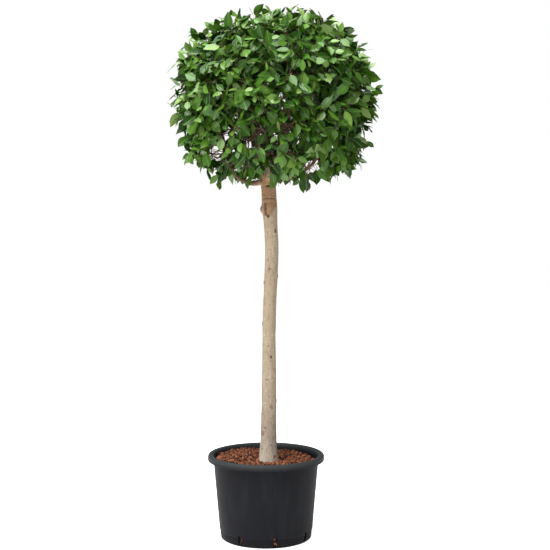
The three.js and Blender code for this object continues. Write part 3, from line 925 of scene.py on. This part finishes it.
growth = {
    "seed": 33,
    # how many twig tips, and how far out: the outer ones make the clipped face
    "shells": [(800, 0.925), (400, 0.82), (230, 0.65)],
    "openBelow": (1.225, 1.47),  # the crown opens between these heights, towards its foot
    "openShare": 0.50,
    "hem": (1.256, 1.226),  # height of the lowest leaves, by the stem and away from it
    "hemWave": 0.100,
    "topFrom": 1.765,
    "topShare": 0.46,  # how many of the tips above that stay
    "lumps": 0.060,  # how much the clipped face goes in and out
    "scatter": 0.014,
    "clearance": (0.008, 0.004),  # of a leaf's middle and of its tip from the wood
    "perBranch": 12,
    "perFork": 4,
    "branchFrom": (0.25, 0.95),  # where a branch leaves the mass's stem
    "branchReach": (0.40, 0.52),  # and how far it goes towards its twigs' tips
    "forkReach": (0.42, 0.58),
    "bends": (0.012, 0.008, 0.007),  # of the branches, the forks and the twigs
    "twigRise": (1.36, 0.16),  # twigs rise above the first height, and hang below it
    "leafStep": 0.0106,  # along a twig
    "bareShare": 0.30,
    # where sky shows from the front: aside, height, half width
    "gaps": [
        (-0.177, 1.325, 0.027), (-0.252, 1.264, 0.027), (0.158, 1.282, 0.026), (0.150, 1.252, 0.020),
        (-0.137, 1.386, 0.016), (-0.027, 1.424, 0.011), (-0.055, 1.349, 0.013), (-0.079, 1.290, 0.015),
        (0.227, 1.349, 0.012), (0.041, 1.365, 0.010), (-0.180, 1.256, 0.012),
    ],
    "strays": 0.05,  # share of the leaves that stay in a gap
    "gapTips": 0.45,  # and of the twigs' tips
    # the twigs' browns, kept dark partly as painted shade inside the crown
    "twigColours": [(0.052, 0.029, 0.017), (0.116, 0.066, 0.037)],
}
leaf = {
    "length": 0.0450,
    "width": 0.0250,
    "variants": 12,
    # half width along the blade: share of its length, share of its widest
    "outline": [
        (0, 0.10), (0.13, 0.60), (0.30, 0.93), (0.50, 1.0), (0.70, 0.76), (0.87, 0.30), (1, 0.0),
    ],
    "ribWidth": 0.0009,
    "stalk": 0.010,
    # how the shapes differ: least and most
    "fold": (0.05, 0.38),
    "arch": (-0.10, 0.28),
    "curl": (-0.12, 0.18),
    "bend": (-0.10, 0.10),
    "wave": (0, 0.04),
    "phase": (0, 6),
    "narrow": (0.84, 1.14),
    # how they hang
    "sizes": (0.17, 0.56, 1.30),  # spread, least and most
    "droop": (0.10, 0.95),
    "lean": 0.60,  # at most, along the twig
    "unruly": 0.50,
    # what lightens a leaf: its spray, itself, how far out it sits (painted shade deep in the crown),
    # the twig's end, the crown's top (painted light)
    "mood": (0.62, 0.55, 4.2, 0.40, 0.70),
    "moodSteps": [-1.40, -0.65, 0.25, 1.10, 1.95],  # from one colour to the next
    # painted light on the crown's top
    "paintedLightTop": (1.70, 0.06),  # the height where the top starts, and how soon it is at its lightest
    "roughness": 0.40,
    # each with its shine, and the rib's last. Shaded and deep go mostly to leaves deep in the crown, as
    # painted shade; the lighter ones also go to its top, as painted light.
    "finishes": {
        "shaded": ((0.007, 0.024, 0.003), 0.10),
        "deep": ((0.012, 0.041, 0.004), 0.12),
        "dark": ((0.025, 0.076, 0.004), 0.24),
        "mid": ((0.046, 0.112, 0.008), 0.29),
        "fresh": ((0.079, 0.150, 0.022), 0.40),
        "young": ((0.124, 0.194, 0.044), 0.45),
        "rib": ((0.108, 0.188, 0.032), 0.30),
    },
}


# A folded, arched blade with a pale rib and a drip tip, on a short stalk. X is across, Y along.
def leafShape(draws):
    bm = bmesh.new()
    rows = len(leaf["outline"]) - 1
    bmesh.ops.create_grid(bm, x_segments=5, y_segments=rows, size=0.5)
    kinds = ("fold", "arch", "curl", "bend", "wave", "phase", "narrow")
    fold, arch, curl, bend, wave, phase, narrow = (draws.uniform(*leaf[kind]) for kind in kinds)
    rib = leaf["ribWidth"] / leaf["length"] / 2
    widest = narrow * leaf["width"] / leaf["length"] / 2
    across = {-5: -1.0, -3: -0.52, -1: 0.0, 1: 0.0, 3: 0.52, 5: 1.0}
    for face in bm.faces:
        face.material_index = 1 if abs(face.calc_center_median().x) < 0.05 else 0
    for v in bm.verts:
        column = round(v.co.x * 10)
        y, share = leaf["outline"][round((v.co.y + 0.5) * rows)]
        half = share * widest
        x = across[column] * half + math.copysign(min(rib, half * 0.5), column)
        lift = fold * abs(x) - curl * x * x * 5 + wave * math.sin(y * 14 + phase) * abs(across[column])
        v.co = Vector((x + bend * y * y, y, lift - arch * y * y * 0.6))
    foot = [v for v in bm.verts if v.co.y < 1e-6 and abs(v.co.x) < rib * 1.01]
    stalkEdge = [e for e in bm.edges if set(e.verts) <= set(foot)]
    made = bmesh.ops.extrude_edge_only(bm, edges=stalkEdge)["geom"]
    drop = leaf["stalk"] / leaf["length"]
    bmesh.ops.translate(bm, vec=(0, -drop, -0.04), verts=onlyVerts(made))
    for g in made:
        if isinstance(g, bmesh.types.BMFace):
            g.material_index = 1
    bmesh.ops.remove_doubles(bm, verts=bm.verts, dist=1e-5)
    bmesh.ops.translate(bm, vec=(0, drop, 0), verts=bm.verts)
    bm.verts.index_update()
    return bm


# A bent path between two points, bowed by an offset at its middle.
def bow(start, end, offset, count):
    t = np.linspace(0, 1, count)[:, None]
    middle = (start + end) / 2 + offset
    return (1 - t) ** 2 * start + 2 * t * (1 - t) * middle + t ** 2 * end


# Beads along the stem and the limbs, which leaves keep off: places and thickness.
def woodBeads():
    heights = np.arange(stem["limbsFrom"], stem["fork"], 0.012)
    found = [(*stemMiddle(height), stemRadius(height, 0) + 0.002) for height in heights]
    for limb in limbs:
        for along in np.arange(0, limb["toTip"], 0.010):
            share = along / limb["toTip"]
            thick = limb["rootThick"] + (limb["tipThick"] - limb["rootThick"]) * share
            found.append((*limb["curve"].at(along), thick + 0.001))
    return np.array(found)


beads = woodBeads()


def clearOfWood(points, clearance):
    far = np.linalg.norm(points[:, None, :] - beads[:, :3], axis=2) - beads[:, 3]
    return far.min(axis=1) > clearance


# Which points lie in front of or behind a gap, as the camera sees them.
def inGap(points):
    eye = np.array([view["aside"], -view["distance"], view["height"]])
    seen = eye + (points - eye) * (view["distance"] / (points[:, 1] + view["distance"]))[:, None]
    inside = np.zeros(len(points), bool)
    for aside, height, half in growth["gaps"]:
        inside |= np.hypot(seen[:, 0] - aside, seen[:, 2] - height) < half
    return inside


# Which points are above the crown's ragged hem.
def aboveHem(points):
    g = growth
    near, away = g["hem"]
    share = np.clip((np.hypot(points[:, 0] - 0.012, points[:, 1]) - 0.055) / 0.085, 0, 1)
    wave = noiseAt([(x * 26, y * 26, 7) for x, y, _ in points])
    return points[:, 2] > near + (away - near) * share + g["hemWave"] * wave


# Rods by kind: sides, rings, thickness at the root and at the tip.
rodKinds = {
    "stem": (8, 12, None, 0.0030),
    "branch": (6, 8, 0.0040, 0.0027),
    "fork": (5, 7, 0.0026, 0.0019),
    "twig": (4, 8, 0.0016, 0.0007),
}


# One mass, grown on from its limb: stem, branches, forks, and twigs with leaves.
def growMass(limb, tips, rng):
    g, curve = growth, limb["curve"]
    stemRings, branchRings, forkRings, _ = (rings for _, rings, _, _ in rodKinds.values())
    start, end = limb["toTip"] - 0.006, curve.length
    paths = {kind: [] for kind in rodKinds}
    paths["stem"].append(curve.at(np.linspace(start, end, stemRings)))
    ahead = limb["outwards"]
    aside = up.cross(ahead).normalized()
    above = ahead.cross(aside)
    arms = tips - np.array(limb["heart"])
    around = np.arctan2(arms @ np.array(above), arms @ np.array(aside))
    order = np.argsort(around)
    leaves = []
    for first in range(0, len(order), g["perBranch"]):
        group = order[first:first + g["perBranch"]]
        middle = tips[group].mean(axis=0)
        share = rng.uniform(*g["branchFrom"])
        root = curve.at(start + share * (end - start))
        fork = root + (middle - root) * rng.uniform(*g["branchReach"])
        bent = bow(root, fork, rng.normal(0, g["bends"][0], 3) + (0, 0, 0.008), branchRings)
        paths["branch"].append(bent)
        ranked = group[np.argsort(tips[group] @ np.array(ahead) + 0.3 * rng.random(len(group)))]
        for low in range(0, len(ranked), g["perFork"]):
            some = ranked[low:low + g["perFork"]]
            aim = tips[some].mean(axis=0)
            leave = bent[rng.integers(5, branchRings)]
            knuckle = leave + (aim - leave) * rng.uniform(*g["forkReach"])
            paths["fork"].append(bow(leave, knuckle, rng.normal(0, g["bends"][1], 3), forkRings))
            for k in some:
                growTwig(knuckle, tips[k], rng, paths, leaves)
    return paths, leaves


# A twig, and for each of its leaves: place, the twig's way there, turn, tint, share of the length.
def growTwig(root, tip, rng, paths, leaves):
    g, rings = growth, rodKinds["twig"][1]
    length = np.linalg.norm(tip - root)
    if length < 0.015:
        return
    level, reach = g["twigRise"]
    rise = np.clip((tip[2] - level) / reach, -1, 1)
    offset = rng.normal(0, g["bends"][2], 3) - np.array([0, 0, 0.16 * length * rise])
    points = bow(root, tip, offset, rings)
    paths["twig"].append(points)
    spray = rng.normal(0, 1)  # one tint for the leaves of a twig
    leafy = 1 - g["bareShare"]
    count = max(3, int(length * leafy / g["leafStep"]))
    turn = rng.uniform(0, 2 * math.pi)
    for k in range(count):
        share = 1 - leafy * k / count
        spot = share * (rings - 1)
        low = min(rings - 2, int(spot))
        along = points[low + 1] - points[low]
        at = points[low] + along * (spot - low)
        turn += goldenAngle + rng.normal(0, 0.3)
        leaves.append((*at, *unit(along), turn, spray, share))


# Leaves stand round their twig and turn their faces to the light, and all hang a little.
def placeLeaves(leaves, rng):
    table = np.array(leaves)
    count = len(table)
    at, along, turn = table[:, 0:3], table[:, 3:6], table[:, 6:7]
    spray, share = table[:, 7], table[:, 8]
    outwards = unit(at - crown["centre"])
    level = unit(np.cross(along, [0, 0, 1]) + rng.normal(0, 0.05, (count, 3)))
    rise = np.cross(level, along)
    spread = np.cos(turn) * level + np.sin(turn) * rise
    # those on top hang less
    droop = rng.uniform(*leaf["droop"], count) * (0.90 - 0.70 * np.clip(outwards[:, 2], -0.3, 1))
    forward = spread * 0.85 + along * rng.uniform(0.0, leaf["lean"], (count, 1))
    forward = np.where((share > 0.985)[:, None], along * 0.6 + spread * 0.5, forward)
    forward[:, 2] -= droop
    forward = unit(forward)
    facing = outwards * 0.50 + rng.normal(0, leaf["unruly"], (count, 3))
    facing[:, 2] += 0.60
    side = unit(np.cross(forward, facing))
    normal = np.cross(side, forward)
    differ, least, most = leaf["sizes"]
    size = leaf["length"] * np.clip(rng.normal(1.0, differ, count), least, most)
    size *= np.where(share > 0.93, 0.80, 1.0)  # the last leaves of a twig are young
    return at, np.stack([side, forward, normal], axis=2), size, spray, share


# Tints go by spray, lighter towards the twigs' ends, darker deep in the crown as painted shade, and
# lighter on its top as painted light.
def leafTint(at, spray, share, rng):
    bySpray, byLeaf, shadeByDepth, atEnd, onTop = leaf["mood"]
    mood = bySpray * spray + byLeaf * rng.normal(0, 1, len(at))
    # leaves deep in the crown are darker, as painted shade
    mood += (outlineShare(at) - 0.90) * shadeByDepth + (share > 0.9) * atEnd
    # leaves on the crown's top are lighter, as painted light
    topFrom, depth = leaf["paintedLightTop"]
    mood += onTop * np.clip((at[:, 2] - topFrom) / depth, 0, 1)
    return np.digitize(mood, leaf["moodSteps"])


# A rod's shape, laid along many paths at once, with its rings set across each path.
def laidRods(template, paths, radii):
    paths = np.array(paths)
    forward = unit(np.gradient(paths, axis=1))
    steep = np.abs(forward[:, :1, 2:]) > 0.9
    side = unit(np.cross(forward, np.where(steep, [1.0, 0, 0], [0, 0, 1.0])))
    over = np.cross(forward, side)
    x, y, ring = template["corners"].T
    ring = np.rint(ring).astype(int)
    across = side[:, ring] * x[None, :, None] + over[:, ring] * y[None, :, None]
    return paths[:, ring] + across * radii[ring][None, :, None]


def growTips(rng):
    tips = np.concatenate([spreadOverCrown(*shell, rng) for shell in growth["shells"]])
    low, high = growth["openBelow"]
    share = np.clip((tips[:, 2] - low) / (high - low), 0, 1)
    keep = growth["openShare"] + (1 - growth["openShare"]) * share
    keep *= np.where(tips[:, 2] > growth["topFrom"], growth["topShare"], 1)
    keep *= np.where(inGap(tips), growth["gapTips"], 1)
    tips = tips[rng.random(len(tips)) < keep]
    lumps = 1 + growth["lumps"] * (noiseAt(tips * 11) + 0.6 * noiseAt(tips * 27))
    return crown["centre"] + (tips - crown["centre"]) * lumps[:, None]


def makeTwigFinish():
    finish = Finish("twig bark", 0.25)
    mottle = finish.noise(55, detail=3)
    fine = finish.noise(500, (1, 1, 0.5), detail=2)
    colour = finish.mix(mottle.step(0.35, 0.65), *growth["twigColours"])
    return finish.finishWith(colour, 0.8, fine, 0.0006, 0.5)


def makeLeafFinishes():
    return [
        Finish(f"leaf {name}", shine).finishWith(colour, leaf["roughness"])
        for name, (colour, shine) in leaf["finishes"].items()
    ]


# The leaves of one mass, without those in a gap, in the wood or out of the crown.
def leafMesh(name, blades, leaves, rng):
    at, turns, size, spray, share = placeLeaves(leaves, rng)
    reach = turns[:, :, 1] * size[:, None]
    ends, middles = at + reach, at + reach * 0.5
    byMiddle, byTip = growth["clearance"]
    fits = outlineShare(ends) < crown["leafReach"]
    fits &= clearOfWood(middles, byMiddle) & clearOfWood(ends, byTip)
    fits &= ~(inGap(middles) | inGap(ends)) | (rng.random(len(at)) < growth["strays"])
    fits &= aboveHem(ends)
    at, turns, size, spray, share = (a[fits] for a in (at, turns, size, spray, share))
    which = rng.integers(0, leaf["variants"], len(at))
    corners = copiesOf(blades, which, turns, size, at)
    isRib = blades[0]["materials"] == 1
    tint = leafTint(at, spray, share, rng)
    materials = np.where(isRib[None, :], len(leaf["finishes"]) - 1, tint[:, None])
    return joinedCopies(name, [(blades[0], corners, materials)]), len(at)


def twigMesh(name, rods, paths, stemThick):
    parts = []
    for kind, (_, rings, thick, thin) in rodKinds.items():
        corners = laidRods(rods[kind], paths[kind], np.linspace(thick or stemThick, thin, rings))
        parts.append((rods[kind], corners, np.zeros((len(corners), len(rods[kind]["sizes"])))))
    return joinedCopies(name, parts)


def makeCrown():
    rng = np.random.default_rng(growth["seed"])
    blades = [templateOf(leafShape(random.Random(100 + i))) for i in range(leaf["variants"])]
    rods = {}
    for kind, (sides, rings, _, _) in rodKinds.items():
        bm = bmesh.new()
        standingRod(bm, sides, rings)
        rods[kind] = templateOf(bm)
    finishes, twigFinish = makeLeafFinishes(), makeTwigFinish()
    tips = growTips(rng)
    owner = np.argmin(np.linalg.norm(tips[:, None, :] - hearts[None, :, :], axis=2), axis=1)
    total = 0
    for index, limb in enumerate(limbs):
        name = limb["name"]
        paths, leaves = growMass(limb, tips[owner == index], rng)
        mesh, count = leafMesh(f"leaves {name}", blades, leaves, rng)
        newPiece(f"leaves_{name}", mesh, finishes, [f"foliage_{name}"])
        mesh = twigMesh(f"twigs {name}", rods, paths, limb["tipThick"])
        newPiece(f"twigs_{name}", mesh, [twigFinish], [f"foliage_{name}"])
        total += count
    return total


print("leaves:", makeCrown())


# A pale floor and soft light from all round, strongest from above.
studio = {
    "floor": (0.90, 0.90, 0.90),
    "floorGlow": 0.70,
    "backdrop": 1.0,  # how bright the room is where it is seen
    "fill": 0.31,  # and how much of it lights the plant
    "lights": [
        # name, place, aimed at, size, power, colour
        ("key", (-2.5, -3.4, 4.0), (0, 0, 1.30), 3.4, 166, (1, 0.99, 0.96)),
        ("overhead", (-0.7, -0.9, 4.2), (0, 0, 1.3), 4.2, 502, (0.98, 0.99, 1)),
    ],
}


def makeStudio(s):
    bm = bmesh.new()
    bmesh.ops.create_circle(bm, cap_ends=True, radius=14, segments=96)
    floor = placed("floor", meshOf(bm, "floor"))
    finish = Finish("pale floor")
    cloud = finish.noise(1.2, detail=2)
    tint = finish.mix(cloud, s["floor"], tuple(0.985 * c for c in s["floor"]))
    finish.give(finish.shader, {"Emission Color": (1, 1, 1, 1), "Emission Strength": s["floorGlow"]})
    floor.data.materials.append(finish.finishWith(tint, 0.75))
    for name, place, aim, size, power, colour in s["lights"]:
        data = bpy.data.lights.new(name, "AREA")
        data.shape, data.size, data.energy, data.color = "DISK", size, power, colour
        lamp = placed(name, data)
        lamp.location = place
        lamp.rotation_euler = (Vector(aim) - Vector(place)).to_track_quat("-Z", "Y").to_euler()
    world = bpy.data.worlds.new("studio")
    world.use_nodes = True
    nodes, links = world.node_tree.nodes, world.node_tree.links
    background = nodes["Background"]
    background.inputs["Color"].default_value = (1, 1, 1, 1)
    rays = nodes.new("ShaderNodeLightPath")
    strength = nodes.new("ShaderNodeMapRange")
    strength.inputs["To Min"].default_value = s["fill"]
    strength.inputs["To Max"].default_value = s["backdrop"]
    links.new(rays.outputs["Is Camera Ray"], strength.inputs["Value"])
    links.new(strength.outputs["Result"], background.inputs["Strength"])
    scene.world = world
    scene.view_settings.view_transform = "Standard"


makeStudio(studio)
print("studio is lit")
